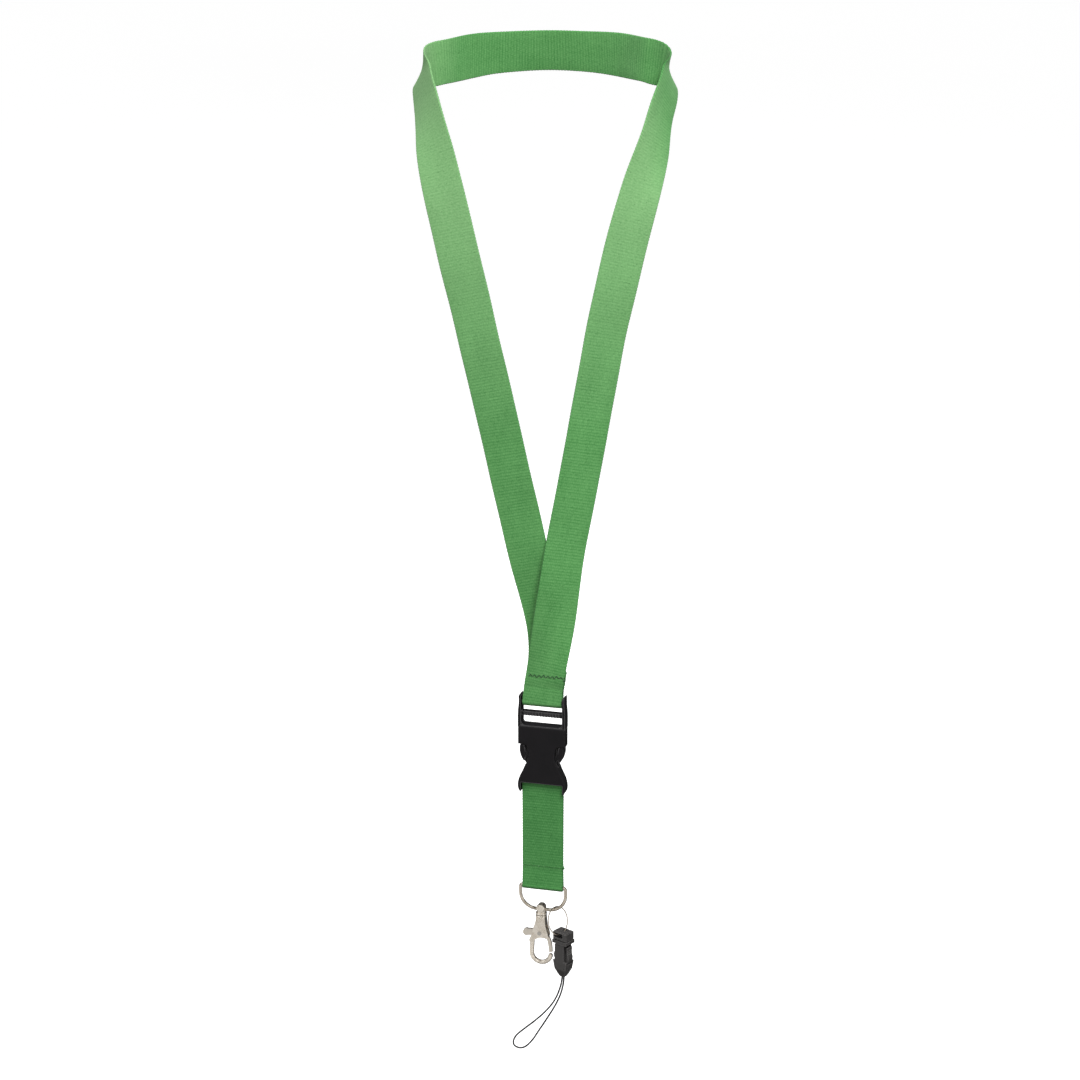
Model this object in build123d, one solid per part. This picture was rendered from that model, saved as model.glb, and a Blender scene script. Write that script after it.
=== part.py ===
"""Lanyard badge holder: a neck loop of woven webbing, a side release buckle, a short drop loop of the
same webbing, a D-ring with a swivel trigger hook, and a jump ring with a mini connector and phone cord.

Frame: millimetres, +Z up, hanging as worn. The origin is the middle of the webbing at the back of the
neck. The front faces -Y. The buckle and everything below it hang on one vertical line, the drop line,
and are square to X and Y. The neck loop is turned NECK_TURN degrees about the vertical against them.
"""
import math
import os

from build123d import *

# Webbing
WEB_WIDTH = 19.6
WEB_THICK = 1.0
LOOP_WIDTH = 18.9          # width where the webbing is gathered between the buckle's rails
NECK_TURN = 15.0
STRAP_STEPS = 4            # sections between two stations of the neck loop

# Drop line
DROP_X = 21.5
DROP_Y = -82.2
HANG_Y = 0.5               # the lower bar, the D-ring and the hook hang this far behind the drop line

# Side release buckle
BUCKLE_W = 22.4
BUCKLE_T = 5.6
RAIL = 1.45
RAIL_TOP_Z = -283.0
TOP_BAR_Z = -286.2
TOP_BAR_R = 1.1
RIB_BAR_TOP_Z = -290.8
RIB_BAR_H = 2.0
RIB_BAR_T = 3.2
BASE_TOP_Z = -297.3
MOUTH_Z = -297.9
MOUTH_HALF_W = 9.75
MOUTH_HALF_T = 1.9
STEP_Z = -306.7
WAIST_Z = -316.0
SEPTUM_TOP_Z = -316.8
SEPTUM_BOTTOM_Z = -319.4
FRONT_EDGE_Z = -325.5
FEET_Z = -330.2
FOOT = 1.25
LOW_BAR_Z = -325.0
LOW_BAR_R = 1.0
HINGE_X = 8.0
HINGE_Z = -300.6
KNUCKLE_R = 0.8
KNUCKLE_GAP = 0.06

# Drop loop and D-ring
RUN_GAP = 0.08             # running clearance of webbing and links on their bars
RING_BAR_Z = -378.1
RING_WIRE_R = 0.8
RING_HALF_W = 10.9
RING_BOTTOM_Z = -389.9
RING_CORNER_R = 7.8
STITCH_Z = -367.5
JOIN_Z = -273.0
JOIN_X = 1.9               # the join sits this far to the right of the drop line
JOIN_HALF = 9.2            # half width of the layers there

# Swivel hook
HOOK_X = -0.8
EYE_FLANGE_Z = -391.4
EYE_FLANGE_H = 0.9
NECK_TOP_Z = -392.6
RIVET_R = 0.84
RIVET_HEAD_R = 1.25
PIVOT_X = -0.4
PIVOT_Z = -401.6
HOOK_WIRE_R = 1.1
HOOK_BOTTOM_Z = -417.2     # centre line of the wire at the bottom of the hook
HOOK_HALF_W = 4.6
CHEEK_HALF_T = 2.1
SLOT_HALF_T = 1.15
LEVER_HALF_T = 0.6

# Jump ring and mini connector
LINK_R = 6.6
LINK_WIRE_R = 0.28
LINK_X = 5.6
LINK_LEAN = 18.0
TURN = 65.0                # direction of the connector's thin side, from +X
CON_X = 9.9
CON_Y = 0.0
CON_HALF_U = 4.0
CON_HALF_V = 3.1
CAP_TOP_Z = -399.7
CAP_BOTTOM_Z = -403.6
BODY_TOP_Z = -404.15
RIM_BOTTOM_Z = -405.75
LATCH_TOP_Z = -407.2
LATCH_ROOT_Z = -415.4
TIP_Z = -423.2
CORD_R = 0.42


def save(name, shape):
    """Write one node."""
    export_step(shape, f"parts/{name}.step")


def hang(shape):
    """Move a piece from the drop line's own frame to the part's frame."""
    return Location((DROP_X, DROP_Y, 0)) * shape


def plate(points, half_t, y=0.0):
    """A closed outline in X and Z, made solid from y - half_t to y + half_t."""
    face = make_face(Polyline(*[(x, y + half_t, z) for x, z in points], close=True))
    return extrude(face, amount=2 * half_t, dir=(0, -1, 0))


def curved_plate(corners, curve, half_t):
    """An outline in X and Z through corners and then smoothly through curve, made solid."""
    def lift(points):
        return [(x, half_t, z) for x, z in points]

    edges = Spline(*lift(curve)) + Polyline(*lift(curve[-1:] + corners + curve[:1]))
    return extrude(make_face(edges), amount=2 * half_t, dir=(0, -1, 0))


def rounded(shape, edges, radius):
    """Fillet the edges, one at a time where they don't all take the radius together."""
    try:
        return fillet(edges, radius)
    except ValueError:
        pass
    for middle in [edge @ 0.5 for edge in edges]:
        near = shape.edges().sort_by_distance(middle)[:1]
        try:
            shape = fillet(near, radius)
        except ValueError:
            continue
    return shape


def faces_edges(shape):
    """The edges that bound the front and the back of a plate."""
    groups = shape.edges().filter_by(Axis.Y, reverse=True).group_by(Axis.Y)
    return groups[0] + groups[-1]


def block(x0, x1, y0, y1, z0, z1):
    """A box between two corners."""
    return Location(((x0 + x1) / 2, (y0 + y1) / 2, (z0 + z1) / 2)) * Box(x1 - x0, y1 - y0, z1 - z0)


def rod(axis, radius, length, x=0.0, y=0.0, z=0.0):
    """A cylinder centred on a point, along X, Y or Z."""
    turn = {"x": (0, 90, 0), "y": (90, 0, 0), "z": (0, 0, 0)}[axis]
    return Location((x, y, z), turn) * Cylinder(radius, length)


def mirror_x(shape):
    """The piece's left-hand twin."""
    return mirror(shape, about=Plane.YZ)


# ---------------------------------------------------------------- neck webbing

# Stations of the neck loop as worn, in the loop's own turned frame: the edge that is at the top behind
# the neck, then the edge that is at the bottom there. Both lists start behind the neck.
LEFT_STATIONS = [
    ((-20, -6, 8.9), (-18.5, -1.5, -10.2)),
    ((-34, -14, 8.5), (-31, -9, -11.2)),
    ((-44.5, -25, 7.6), (-42, -22, -12.2)),
    ((-48.2, -27.5, 7.2), (-47.6, -26.5, -13.0)),
    ((-51.4, -32.5, 5.8), (-53.4, -28.6, -13.9)),
    ((-51.0, -38.0, 1.8), (-58.0, -29.3, -14.4)),
    ((-49.3, -45.5, -6.0), (-58.5, -33.5, -18.7)),
    ((-46.0, -53.0, -16.0), (-57.2, -42.7, -28.5)),
    ((-41.8, -59.5, -29.9), (-55.6, -53.2, -42.5)),
    ((-36.6, -64, -49), (-52.3, -60, -60)),
    ((-30, -68, -75), (-47.5, -63.4, -82.7)),
    ((-21.8, -72.5, -110), (-39.3, -67.3, -117)),
    ((-13.4, -76, -146), (-31, -70.7, -152.7)),
    ((-5.4, -78.5, -182), (-23, -73.7, -188.8)),
    ((2.5, -80.8, -216.5), (-15, -76.5, -223.4)),
    ((8.4, -82.6, -246), (-7.7, -79.4, -252.4)),
]
BACK_STATION = ((0, -2.4, 9.3), (0, 2.4, -9.5))
RIGHT_STATIONS = [
    ((20, -6, 9.1), (18.8, -1.5, -9.7)),
    ((34.5, -14, 9.0), (31.8, -9, -10.4)),
    ((45.4, -25, 8.5), (42.5, -22, -11.0)),
    ((49.6, -28.5, 8.2), (48.0, -26.5, -12.2)),
    ((53.1, -33.0, 6.7), (53.6, -29.3, -13.1)),
    ((53.0, -38.5, 1.9), (58.7, -29.6, -14.6)),
    ((51.2, -45.5, -6.0), (59.3, -32.8, -18.8)),
    ((47.2, -53.0, -16.2), (56.7, -41.5, -29.1)),
    ((42.4, -59.5, -29.9), (54.2, -51.1, -43.3)),
    ((35.2, -64, -49), (50.3, -60.3, -60)),
    ((27.3, -68, -75), (44.8, -64, -83)),
    ((19.5, -72.5, -110), (37, -67.5, -117)),
    ((12.9, -76.5, -146), (30.5, -71, -152)),
    ((6.3, -80, -182), (24, -75, -188)),
    ((-0.2, -84, -216.5), (17.7, -80, -222)),
    ((-4.7, -86, -245), (14.1, -84.8, -249.5)),
]


def turned(point):
    """A point of the neck loop's own frame in the part's frame."""
    return Vector(*point).rotate(Axis.Z, NECK_TURN)


def on_line(x, y, z):
    """A point given from the drop line."""
    return Vector(DROP_X + x, DROP_Y + y, z)


def smooth(points, steps):
    """Points on a smooth curve through the given points, `steps` to each gap."""
    ends = [points[0] * 2 - points[1]] + points + [points[-1] * 2 - points[-2]]
    out = []
    for i in range(1, len(ends) - 2):
        p0, p1, p2, p3 = ends[i - 1 : i + 3]
        for k in range(steps):
            t = k / steps
            out.append(
                p1
                + (p2 - p0) * (t / 2)
                + (p0 * 2 - p1 * 5 + p2 * 4 - p3) * (t * t / 2)
                + (p1 * 3 - p0 - p2 * 3 + p3) * (t**3 / 2)
            )
    out.append(points[-1])
    return out


def neck_edges():
    """The two edges of the neck webbing's middle surface, from its left end to its folded-back end."""
    gathered = LOOP_WIDTH / 2
    above = JOIN_Z + 3

    def across(centre, half, y, z):
        return on_line(centre - half, y, z), on_line(centre + half, y, z)

    left_end = [across(0.5, -JOIN_HALF, 0.0, -279.3), across(JOIN_X, -JOIN_HALF, 0.0, above)]
    worn = LEFT_STATIONS[::-1] + [BACK_STATION] + RIGHT_STATIONS
    loop = [(turned(top), turned(low)) for top, low in worn]
    front = WEB_THICK + 0.12
    right_end = [across(JOIN_X, JOIN_HALF, -front, above), across(0.5, JOIN_HALF, -front, -279.0)]
    pairs = left_end + loop + right_end
    first = smooth([a for a, b in pairs], STRAP_STEPS)
    second = smooth([b for a, b in pairs], STRAP_STEPS)
    fold_r = TOP_BAR_R + RUN_GAP + WEB_THICK / 2
    for angle in range(0, 181, 15):
        y = -fold_r * math.cos(math.radians(angle))
        z = TOP_BAR_Z - fold_r * math.sin(math.radians(angle))
        first.append(on_line(-gathered, y, z))
        second.append(on_line(gathered, y, z))
    for centre, z in ((0.5, -279.0), (JOIN_X - 0.4, JOIN_Z), (JOIN_X + 0.2, above + 0.5)):
        left, right = across(centre, JOIN_HALF, front, z)
        first.append(left)
        second.append(right)
    return first, second


def neck_webbing():
    """One length of webbing, thickened each side of its middle surface."""
    first, second = neck_edges()
    sections = []
    for i, (a, b) in enumerate(zip(first, second)):
        before = max(i - 1, 0)
        after = min(i + 1, len(first) - 1)
        along = (first[after] + second[after]) - (first[before] + second[before])
        normal = along.cross(b - a).normalized() * (WEB_THICK / 2)
        sections.append(Wire.make_polygon([a - normal, b - normal, b + normal, a + normal], close=True))
    return Solid.make_loft(sections, ruled=True)


def stitch_row(z, half_w, half_t, count):
    """A row of thread stitches across both faces of the webbing, stepping up and down."""
    stitches = []
    pitch = 2 * half_w / count
    for i in range(count):
        x = -half_w + pitch * (i + 0.5)
        step = 0.45 if i % 2 else -0.45
        stitches.append(block(x - 0.28, x + 0.28, -half_t, half_t, z + step - 0.9, z + step + 0.9))
    return Compound(children=stitches)


# ---------------------------------------------------------------- side release buckle

def male_frame():
    """Rails, strap bar, ribbed bar, base and guide tongue of the buckle's plug half."""
    outer = BUCKLE_W / 2
    low = MOUTH_Z + 0.05
    inner = outer - RAIL
    taper = [(outer, -293.0), (outer - 0.15, -289.5), (outer - 0.45, -285.0)]
    taper += [(outer - 0.8, RAIL_TOP_Z + 0.3), (inner + 0.35, RAIL_TOP_Z)]
    rail = curved_plate([(inner, RAIL_TOP_Z - 0.2), (inner, low), (outer, low)], taper, BUCKLE_T / 2)
    rail = rounded(rail, rail.faces().sort_by(Axis.X)[-1].edges().filter_by(Axis.Z), 0.5)
    below = BASE_TOP_Z - 0.2
    corner = [(outer - 1.2, BASE_TOP_Z + 2.3), (outer - 1.2, below), (outer - 3.9, below)]
    rail += curved_plate(corner, [(outer - 3.9, BASE_TOP_Z), (outer - 2.0, BASE_TOP_Z + 0.55),
                                  (outer - 1.45, BASE_TOP_Z + 2.3)], BUCKLE_T / 2 - 0.6)
    frame = rail + mirror_x(rail)
    frame += rod("x", TOP_BAR_R, 2 * outer - RAIL, z=TOP_BAR_Z)
    rib_z = RIB_BAR_TOP_Z - RIB_BAR_H / 2
    half_x = outer - 0.7
    half_y = RIB_BAR_T / 2
    rib_bar = block(-half_x, half_x, -half_y, half_y, rib_z - RIB_BAR_H / 2, RIB_BAR_TOP_Z)
    for i in range(-6, 7):
        x = i * 1.35
        rib_bar -= block(x - 0.3, x + 0.3, -RIB_BAR_T, 0.3 - half_y, rib_z - 2, rib_z + 2)
    frame += rib_bar
    frame += block(-outer + 0.2, outer - 0.2, -BUCKLE_T / 2, BUCKLE_T / 2, MOUTH_Z + 0.05, BASE_TOP_Z)
    inside = MOUTH_HALF_T - 0.3
    frame += block(-9.4, 9.4, -inside, inside, HINGE_Z - 0.3, BASE_TOP_Z - 0.3)
    tongue = [(-2.4, HINGE_Z), (2.4, HINGE_Z), (2.0, -312.6), (1.0, -313.8)]
    tongue += [(-1.0, -313.8), (-2.0, -312.6)]
    frame += plate(tongue, 1.2)
    for side in (-1, 1):
        frame -= rod("y", KNUCKLE_R + KNUCKLE_GAP, 8, x=side * HINGE_X, z=HINGE_Z)
        frame -= block(side * HINGE_X - 1.15, side * HINGE_X + 1.15, -4, 4, HINGE_Z - 2, HINGE_Z - 0.05)
    return frame


def prong(side):
    """One spring arm with the ear that fills the window in the buckle's side."""
    top = STEP_Z - 0.3
    arm = [(7.45, HINGE_Z), (8.55, HINGE_Z), (8.75, top), (7.2, top)]
    back = [(6.9, -316.1), (6.5, -313.0), (6.9, top)]
    flank = [(10.2, top), (10.45, -308.6), (10.3, -310.6), (9.7, -312.6)]
    inner = [(7.75, -313.0), (7.6, -310.5), (8.3, top)]
    body = rod("y", KNUCKLE_R, 2.8, x=HINGE_X, z=HINGE_Z)
    body += plate(arm, 1.4)
    inset = [(x - 0.25, z) for x, z in flank]
    body += curved_plate(back, inset + [(8.5, -314.6), (7.6, -316.0)], 1.5)
    cheek = curved_plate(inner, flank + [(9.0, -314.1), (8.2, -314.9)], BUCKLE_T / 2 - 0.15)
    body += rounded(cheek, faces_edges(cheek), 0.4)
    return body if side > 0 else mirror_x(body)


def female_body():
    """The buckle's socket half: mouth, side windows, septum, front plate, lower bar and feet."""
    outer = BUCKLE_W / 2
    half_t = BUCKLE_T / 2
    corners = [(0, FEET_Z), (0, MOUTH_Z), (outer, MOUTH_Z), (outer, STEP_Z)]
    flank = [(7.6, STEP_Z), (6.6, -308.6), (6.2, -311.0), (6.3, -313.2), (6.8, -315.0)]
    flank += [(7.7, WAIST_Z - 0.5), (8.7, -318.9), (9.9, -321.4), (10.9, -323.9)]
    flank += [(11.35, -326.4), (11.2, -328.6), (10.4, FEET_Z)]
    half = curved_plate(corners, flank, half_t)
    body = half + mirror_x(half)
    body = rounded(body, faces_edges(body), 0.5)
    body -= block(-MOUTH_HALF_W, MOUTH_HALF_W, -MOUTH_HALF_T, MOUTH_HALF_T, SEPTUM_TOP_Z, MOUTH_Z + 1)
    body -= block(-outer - 1, outer + 1, -MOUTH_HALF_T, MOUTH_HALF_T, SEPTUM_TOP_Z, STEP_Z)
    slot = outer - FOOT
    opening = [(7.7, SEPTUM_BOTTOM_Z), (slot, -322.9), (slot, FEET_Z - 1)]
    opening += [(-x, z) for x, z in opening[::-1]]
    depth = half_t + 1 + MOUTH_HALF_T
    body -= plate(opening, depth / 2, depth / 2 - MOUTH_HALF_T)
    body -= block(-slot, slot, -half_t - 1, half_t + 1, FEET_Z - 1, FRONT_EDGE_Z)
    body += rod("x", LOW_BAR_R, 2 * slot + 1, y=HANG_Y, z=LOW_BAR_Z)
    return body


# ---------------------------------------------------------------- drop webbing and D-ring

def drop_webbing():
    """A closed loop of webbing from the buckle's lower bar to the D-ring, pinched by its stitches."""
    top_r = LOW_BAR_R + RUN_GAP + WEB_THICK / 2
    low_r = RING_WIRE_R + RUN_GAP + WEB_THICK / 2
    pinch = WEB_THICK / 2 + 0.06
    line = []
    for angle in range(90, -31, -15):
        a = math.radians(angle)
        line.append((top_r * math.cos(a), LOW_BAR_Z + top_r * math.sin(a)))
    line += [(pinch + 0.25, -334.0), (pinch + 0.1, -345.0), (pinch, -358.0), (pinch, STITCH_Z - 2)]
    for angle in range(30, -91, -15):
        a = math.radians(angle)
        line.append((low_r * math.cos(a), RING_BAR_Z + low_r * math.sin(a)))
    path = line + [(-y, z) for y, z in line[-2:0:-1]]
    outer, inner = [], []
    for i, (y, z) in enumerate(path):
        y0, z0 = path[i - 1]
        y1, z1 = path[(i + 1) % len(path)]
        along = math.hypot(y1 - y0, z1 - z0)
        ny = -(z1 - z0) / along * WEB_THICK / 2
        nz = (y1 - y0) / along * WEB_THICK / 2
        outer.append((y + ny, z + nz))
        inner.append((y - ny, z - nz))
    half = WEB_WIDTH / 2
    solids = []
    for ring in (outer, inner):
        face = make_face(Polyline(*[(half, HANG_Y + y, z) for y, z in ring], close=True))
        solids.append(extrude(face, amount=WEB_WIDTH, dir=(-1, 0, 0)))
    return solids[0] - solids[1]


def d_ring():
    """Bent and welded wire: a straight bar through the webbing, and a deep bow below it."""
    w = RING_HALF_W
    corners = [(-w, 0, RING_BAR_Z), (w, 0, RING_BAR_Z), (w, 0, RING_BOTTOM_Z), (-w, 0, RING_BOTTOM_Z)]
    path = FilletPolyline(*corners, radius=[1.3, 1.3, RING_CORNER_R, RING_CORNER_R], close=True)
    profile = Plane(origin=path @ 0, z_dir=path % 0) * Circle(RING_WIRE_R)
    return Location((0, HANG_Y, 0)) * sweep(profile, path=path)


# ---------------------------------------------------------------- swivel trigger hook

def swivel_eye():
    """The hook's head, threaded on the D-ring, with its flange and the rivet's bore."""
    knob = rod("y", 2.05, 4.4, z=RING_BOTTOM_Z + 0.75)
    knob = fillet(knob.edges(), 0.8)
    stem = rod("z", 2.1, 3.4, z=RING_BOTTOM_Z - 0.1)
    flange = rod("z", 2.65, EYE_FLANGE_H, z=EYE_FLANGE_Z - EYE_FLANGE_H / 2)
    flange = chamfer(flange.edges(), 0.2)
    eye = knob + stem + flange
    eye -= rod("x", RING_WIRE_R + RUN_GAP, 12, z=RING_BOTTOM_Z)
    eye -= rod("z", RIVET_R, 4, z=EYE_FLANGE_Z - 1.4)
    return Location((HOOK_X, HANG_Y, 0)) * eye


def swivel_rivet():
    """The pin that joins the head to the hook, with its peened head inside the flange."""
    top = EYE_FLANGE_Z + 0.4
    bottom = NECK_TOP_Z - 2.8
    pin = rod("z", RIVET_R, top - bottom, z=(top + bottom) / 2)
    pin += rod("z", RIVET_HEAD_R, 0.7, z=bottom + 0.1)
    return Location((HOOK_X, HANG_Y, 0)) * pin


def hook_body():
    """Cast neck, two cheeks with the lever's slot, and the open bow of the hook."""
    neck = rod("z", 2.6, 1.0, z=NECK_TOP_Z - 0.5)
    neck = chamfer(neck.edges(), 0.25)
    shoulder = [(2.2, -393.2), (2.3, -396.2), (2.8, -399.3), (3.7, -402.4), (3.5, -404.0)]
    shoulder += [(2.0, -404.0), (0, -403.9), (-2.0, -404.7), (-3.3, -406.2), (-4.4, -407.1)]
    shoulder += [(-5.3, -406.2), (-4.5, -403.2), (-3.5, -399.4), (-2.5, -396.2), (-2.2, -393.2)]
    cheeks = curved_plate([], shoulder, CHEEK_HALF_T)
    cheeks = rounded(cheeks, faces_edges(cheeks), 0.7)
    centre_z = HOOK_BOTTOM_Z + HOOK_HALF_W
    low = (0, 0, HOOK_BOTTOM_Z)
    tip_a = math.radians(-8)
    tip = (HOOK_HALF_W * math.cos(tip_a), 0, centre_z + HOOK_HALF_W * math.sin(tip_a))
    side = (-HOOK_HALF_W, 0, centre_z)
    root = (-4.1, 0, -405.1)
    bow_path = TangentArc(side, root, tangent=(0, 0, 1)) + ThreePointArc(side, low, tip)
    bow = sweep(Plane(origin=root, z_dir=(bow_path % 0)) * Circle(HOOK_WIRE_R), path=bow_path)
    tip_end = Location(tip) * Sphere(HOOK_WIRE_R)
    body = neck + cheeks + bow + tip_end
    body -= block(-12, 12, -SLOT_HALF_T, SLOT_HALF_T, -404.3, -397.4)
    body -= block(-2.6, 12, -SLOT_HALF_T, SLOT_HALF_T, -407.5, -397.4)
    body -= rod("y", 0.6, 8, x=PIVOT_X, z=PIVOT_Z)
    body -= rod("z", RIVET_R + RUN_GAP, 6, z=NECK_TOP_Z)
    body -= rod("z", RIVET_HEAD_R + 0.15, 1.6, z=NECK_TOP_Z - 2.7)
    return Location((HOOK_X, HANG_Y, 0)) * body


def trigger_lever():
    """Flat lever: thumb tab to the left, hub on the rivet, gate arm down to the hook's tip."""
    root = [(-1.0, PIVOT_Z - 1.4), (-1.0, PIVOT_Z + 1.4)]
    thumb = [(-6.4, PIVOT_Z + 1.1), (-8.1, PIVOT_Z + 0.8), (-8.9, PIVOT_Z - 0.7)]
    thumb += [(-8.4, PIVOT_Z - 2.1), (-6.9, PIVOT_Z - 2.4)]
    tab = curved_plate(root, thumb, LEVER_HALF_T)
    inner = [(3.85, -411.5), (3.7, -409.0), (3.0, PIVOT_Z - 3.8), (1.6, PIVOT_Z - 2.0)]
    inner += [(-0.6, PIVOT_Z - 1.4)]
    outer = [(0.2, PIVOT_Z + 1.4), (3.0, PIVOT_Z - 0.6), (4.6, PIVOT_Z - 3.6)]
    outer += [(5.25, -408.2), (5.45, -411.3)]
    gate = curved_plate(inner, outer, LEVER_HALF_T)
    lever = tab + gate
    lever += rod("y", 1.75, 2 * LEVER_HALF_T, x=PIVOT_X, z=PIVOT_Z)
    lever -= rod("y", 0.6 + RUN_GAP, 4, x=PIVOT_X, z=PIVOT_Z)
    return Location((HOOK_X, HANG_Y, 0)) * lever


def lever_rivet():
    """The lever's pin, peened over both cheeks."""
    pin = rod("y", 0.6, 2 * CHEEK_HALF_T + 0.7, x=PIVOT_X, z=PIVOT_Z)
    for side in (-1, 1):
        head = rod("y", 1.0, 0.35, x=PIVOT_X, y=side * (CHEEK_HALF_T + 0.175), z=PIVOT_Z)
        pin += head
    return Location((HOOK_X, HANG_Y, 0)) * pin


def lever_spring():
    """The torsion spring's coil on the rivet, beside the lever, with its leg on the cheek's roof."""
    wire = 0.16
    coil = rod("y", 1.05, 2 * wire, x=PIVOT_X, y=0.88, z=PIVOT_Z)
    coil -= rod("y", 0.72, 2, x=PIVOT_X, y=0.88, z=PIVOT_Z)
    leg = block(PIVOT_X + 0.75, PIVOT_X + 1.05, 0.88 - wire, 0.88 + wire, PIVOT_Z, PIVOT_Z + 2.6)
    return Location((HOOK_X, HANG_Y, 0)) * (coil + leg)


# ---------------------------------------------------------------- jump ring and mini connector

def link_top_z():
    """Height of the D-ring wire's centre where the jump ring hangs."""
    flat = RING_HALF_W - RING_CORNER_R
    return RING_BOTTOM_Z + RING_CORNER_R - math.sqrt(RING_CORNER_R**2 - (LINK_X - flat) ** 2)


def link_frame():
    """Centre, sideways direction and downward direction of the leaning jump ring."""
    lean = math.radians(LINK_LEAN)
    along = Vector(1, 0, 0).rotate(Axis.Z, TURN)
    across = Vector(1, 0, 0).rotate(Axis.Z, TURN - 90)
    down = across * math.sin(lean) - Vector(0, 0, 1) * math.cos(lean)
    top = Vector(LINK_X, HANG_Y, link_top_z() + RING_WIRE_R + LINK_WIRE_R + 0.12)
    return top + down * LINK_R, along, down


def jump_ring():
    """A light split ring of thin wire through the D-ring and the connector's cap."""
    centre, along, down = link_frame()
    plane = Plane(origin=centre, x_dir=along, z_dir=along.cross(down))
    return plane.location * Torus(LINK_R, LINK_WIRE_R)


def eyelet_z():
    """Height of the jump ring's lowest point, which is the cap's eyelet axis."""
    centre, along, down = link_frame()
    return (centre + down * LINK_R).Z


def connector_place():
    """Placement of the connector's own frame: U across it, V through it, Z up."""
    return Location((CON_X, CON_Y + HANG_Y, 0), (0, 0, TURN - 90))


def eyelet_offset():
    """The jump ring's lowest point in the connector's own frame."""
    centre, along, down = link_frame()
    low = centre + down * LINK_R
    local = Vector(low.X - CON_X, low.Y - CON_Y - HANG_Y, 0).rotate(Axis.Z, 90 - TURN)
    return local.X, local.Y


def connector_cap():
    """Cap with a recess and a bridge for the jump ring, and a tongue that the latches hold."""
    cap = block(-CON_HALF_U, CON_HALF_U, -CON_HALF_V, CON_HALF_V, CAP_BOTTOM_Z, CAP_TOP_Z)
    cap = chamfer(cap.edges().group_by(Axis.Z)[-1], 0.5)
    cap = chamfer(cap.edges().filter_by(Axis.Z), 0.35)
    tongue = block(-1.5, 1.5, -1.2, 1.2, -412.4, CAP_BOTTOM_Z + 0.5)
    tongue -= block(-3, -1.05, -2, 2, -408.9, -407.5)
    tongue -= block(1.05, 3, -2, 2, -408.9, -407.5)
    cap += tongue
    u, v = eyelet_offset()
    z = eyelet_z()
    bridge_back = v + 1.35
    cap -= block(u - 3.3, u + 1.8, -CON_HALF_V - 1, bridge_back, z - 1.9, z + 0.56)
    cap -= block(u - 1.1, u + 1.1, bridge_back - 0.05, CON_HALF_V - 0.4, z - 0.6, CAP_TOP_Z + 1)
    return connector_place() * cap


def connector_body():
    """Lower housing: rim, open sides for the latches, a socket for the tongue, and a tapered end."""
    rim = 0.15
    front = [(CON_HALF_U + rim, BODY_TOP_Z), (CON_HALF_U + rim, RIM_BOTTOM_Z)]
    front += [(CON_HALF_U - rim, RIM_BOTTOM_Z), (CON_HALF_U - rim, -415.2)]
    front += [(3.3, -419.0), (2.0, -421.8), (1.2, TIP_Z)]
    front += [(-u, z) for u, z in front[::-1]]
    side = [(CON_HALF_V + rim, BODY_TOP_Z), (CON_HALF_V + rim, RIM_BOTTOM_Z)]
    side += [(CON_HALF_V - rim, RIM_BOTTOM_Z), (CON_HALF_V - rim, -415.6)]
    side += [(2.5, -419.4), (1.5, -422.2), (1.1, TIP_Z)]
    side += [(-v, z) for v, z in side[::-1]]
    across = plate(front, CON_HALF_V + 1)
    through = Location((0, 0, 0), (0, 0, 90)) * plate(side, CON_HALF_U + 1)
    body = across & through
    body -= block(-2.0, 2.0, -1.6, 1.6, -414.0, BODY_TOP_Z + 1)
    for s in (-1, 1):
        inner, outer = sorted((s * 1.9, s * 5.0))
        body -= block(inner, outer, -1.9, 1.9, LATCH_ROOT_Z - 0.6, RIM_BOTTOM_Z)
        inner, outer = sorted((s * 2.5, s * 5.0))
        body -= block(inner, outer, -CON_HALF_V - 1, CON_HALF_V + 1, -414.6, RIM_BOTTOM_Z)
    body -= block(-1.5, 1.5, -1.5, 1.5, -419.6, -416.4)
    body -= block(-1.0, 1.0, -0.5, 0.5, TIP_Z - 1, -419.0)
    return connector_place() * body


def connector_latch(side):
    """One squeeze latch: a knuckle at its root, a ribbed finger pad and a catch at its free top."""
    root_u = 3.0
    arm = [(2.55, LATCH_ROOT_Z), (3.5, LATCH_ROOT_Z), (4.25, -413.6), (4.45, -412.4), (3.95, -410.6)]
    arm += [(3.95, LATCH_TOP_Z), (2.9, LATCH_TOP_Z), (2.75, -412.0)]
    latch = plate(arm, 1.7)
    latch += plate([(2.9, -407.7), (2.9, -408.7), (1.85, -408.5), (1.85, -408.2)], 0.9)
    latch += rod("y", 0.5, 3.1, x=root_u, z=LATCH_ROOT_Z)
    for i in range(3):
        latch -= block(3.8, 5, -2, 2, -408.9 - 0.9 * i, -408.6 - 0.9 * i)
    latch = latch if side > 0 else mirror_x(latch)
    return connector_place() * latch


def cord_knot():
    """The knot that holds both ends of the phone cord inside the housing."""
    return connector_place() * Location((0, 0, -417.9)) * Sphere(1.25)


# Route of the phone cord from the knot, round its loop and back to the knot, from the drop line.
CORD_ROUTE = [
    (9.5, 0.2, -418.9),
    (9.5, 0.2, -423.8),
    (8.6, -0.2, -429.2),
    (6.4, -1.0, -435.4),
    (2.4, -2.1, -441.2),
    (-3.2, -3.8, -446.7),
    (-8.7, -5.4, -451.2),
    (-12.5, -6.5, -454.9),
    (-13.1, -6.7, -459.4),
    (-8.7, -5.5, -461.2),
    (-4.6, -4.4, -457.5),
    (-1.0, -3.4, -451.3),
    (2.6, -2.4, -445.2),
    (6.1, -1.4, -439.0),
    (8.8, -0.7, -432.9),
    (10.1, -0.3, -427.2),
    (10.35, -0.2, -422.8),
    (10.3, -0.2, -418.9),
]


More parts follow.
